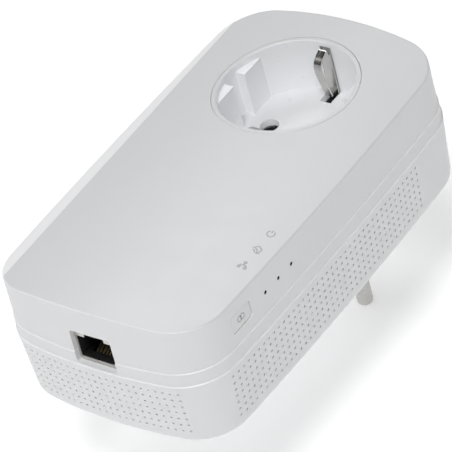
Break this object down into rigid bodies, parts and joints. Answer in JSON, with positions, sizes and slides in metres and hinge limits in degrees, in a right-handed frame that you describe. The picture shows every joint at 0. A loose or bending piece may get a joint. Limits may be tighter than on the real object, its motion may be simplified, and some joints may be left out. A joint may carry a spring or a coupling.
{
  "type": "powerline adapter",
  "caption": "Pass-through powerline network adapter: mains plug behind, earthed socket in front, Ethernet port at one end, pair button and status lights on one side.",
  "frame": {"origin": "centre of the plug boss's engagement face, midway between the two pins", "axes": "+Z out of the front face, -Z the way the plug pins point; +Y toward the socket end, -Y toward the Ethernet end; +X toward the status lights and pair button"},
  "size_m": [0.0722, 0.131, 0.0771],
  "materials": {
    "aluminium_fins": "extruded",
    "black_plastic": "moulded",
    "board_green": "solder mask",
    "brass_contact": "plain brass",
    "button_grey": "moulded",
    "button_white": "satin",
    "capacitor_sleeve": "sleeved can",
    "carrier_grey": "matte",
    "clear_guide": "smoked clear",
    "copper_wire": "enamelled copper",
    "ferrite": "sintered",
    "film_box_yellow": "moulded",
    "fuse_ceramic": "glazed",
    "gold_plated": "gold plated",
    "housing_white": "satin gloss",
    "insert_white": "satin gloss",
    "label_silver": "matte film",
    "lead_blue": "insulated lead",
    "lead_brown": "insulated lead",
    "lead_green": "insulated lead",
    "led_lens": "water clear",
    "nickel_plated": "nickel plated, satin",
    "spring_steel_bright": "bright spring steel",
    "steel_shield": "plain sheet",
    "tape_yellow": "polyester tape",
    "tin_plated": "tin plated brass",
    "varistor_blue": "dipped",
    "zinc_screw": "zinc plated"
  },
  "bodies": {
    "housing": {"back_housing": "housing_white", "board_screws": "zinc_screw", "bridge_rectifier": "black_plastic", "bulk_capacitor_1": "capacitor_sleeve", "bulk_capacitor_2": "capacitor_sleeve", "busbar_live": "brass_contact", "busbar_neutral": "brass_contact", "choke_core": "ferrite", "choke_winding": "copper_wire", "contact_carrier": "carrier_grey", "coupling_base": "black_plastic", "coupling_core": "ferrite", "crystal": "steel_shield", "earth_bridge": "brass_contact", "ethernet_contacts": "gold_plated", "ethernet_jack": "black_plastic", "ethernet_shield": "steel_shield", "flash_chip": "black_plastic", "front_cover": "housing_white", "fuse": "fuse_ceramic", "heatsink": "aluminium_fins", "housing_screws": "zinc_screw", "lan_transformer": "black_plastic", "lead_earth": "lead_green", "lead_live": "lead_brown", "lead_neutral": "lead_blue", "led_ethernet": "led_lens", "led_power": "led_lens", "led_powerline": "led_lens", "light_guide": "clear_guide", "main_board": "board_green", "memory_chip": "black_plastic", "output_capacitor": "capacitor_sleeve", "pair_switch_body": "black_plastic", "plug_boss": "housing_white", "plug_earth_strip_lower": "spring_steel_bright", "plug_earth_strip_upper": "spring_steel_bright", "plug_pin_live": "nickel_plated", "plug_pin_neutral": "nickel_plated", "processor": "black_plastic", "rating_label": "label_silver", "socket_contact_live": "tin_plated", "socket_contact_neutral": "tin_plated", "socket_insert": "insert_white", "transformer_bobbin": "black_plastic", "transformer_core": "ferrite", "transformer_winding": "tape_yellow", "varistor": "varistor_blue", "x2_capacitor": "film_box_yellow"},
    "pair_button": {"pair_button": "button_white"},
    "pair_switch_plunger": {"pair_switch_plunger": "button_grey"},
    "earth_clip_upper": {"earth_clip_upper": "spring_steel_bright"},
    "earth_clip_lower": {"earth_clip_lower": "spring_steel_bright"}
  },
  "joints": [
    {"name": "pair_button_press", "type": "slide", "parent": "housing", "child": "pair_button", "axis": [-1, 0, 0], "range_m": [0, 0.00045], "stiffness_N_per_m": 2500, "springref_m": -0.0002},
    {"name": "pair_switch_press", "type": "slide", "parent": "housing", "child": "pair_switch_plunger", "axis": [-1, 0, 0], "range_m": [0, 0.00045]},
    {"name": "earth_clip_upper_flex", "type": "hinge", "parent": "housing", "child": "earth_clip_upper", "pos_m": [0, 0.019, 0.0355], "axis": [-1, 0, 0], "range_deg": [0, 2.5], "stiffness_Nm_per_rad": 2, "springref_deg": -1.15},
    {"name": "earth_clip_lower_flex", "type": "hinge", "parent": "housing", "child": "earth_clip_lower", "pos_m": [0, -0.019, 0.0355], "axis": [1, 0, 0], "range_deg": [0, 2.5], "stiffness_Nm_per_rad": 2, "springref_deg": -1.15}
  ],
  "couplings": [
    {"joint": "pair_switch_press", "follows": "pair_button_press", "ratio": 1}
  ]
}
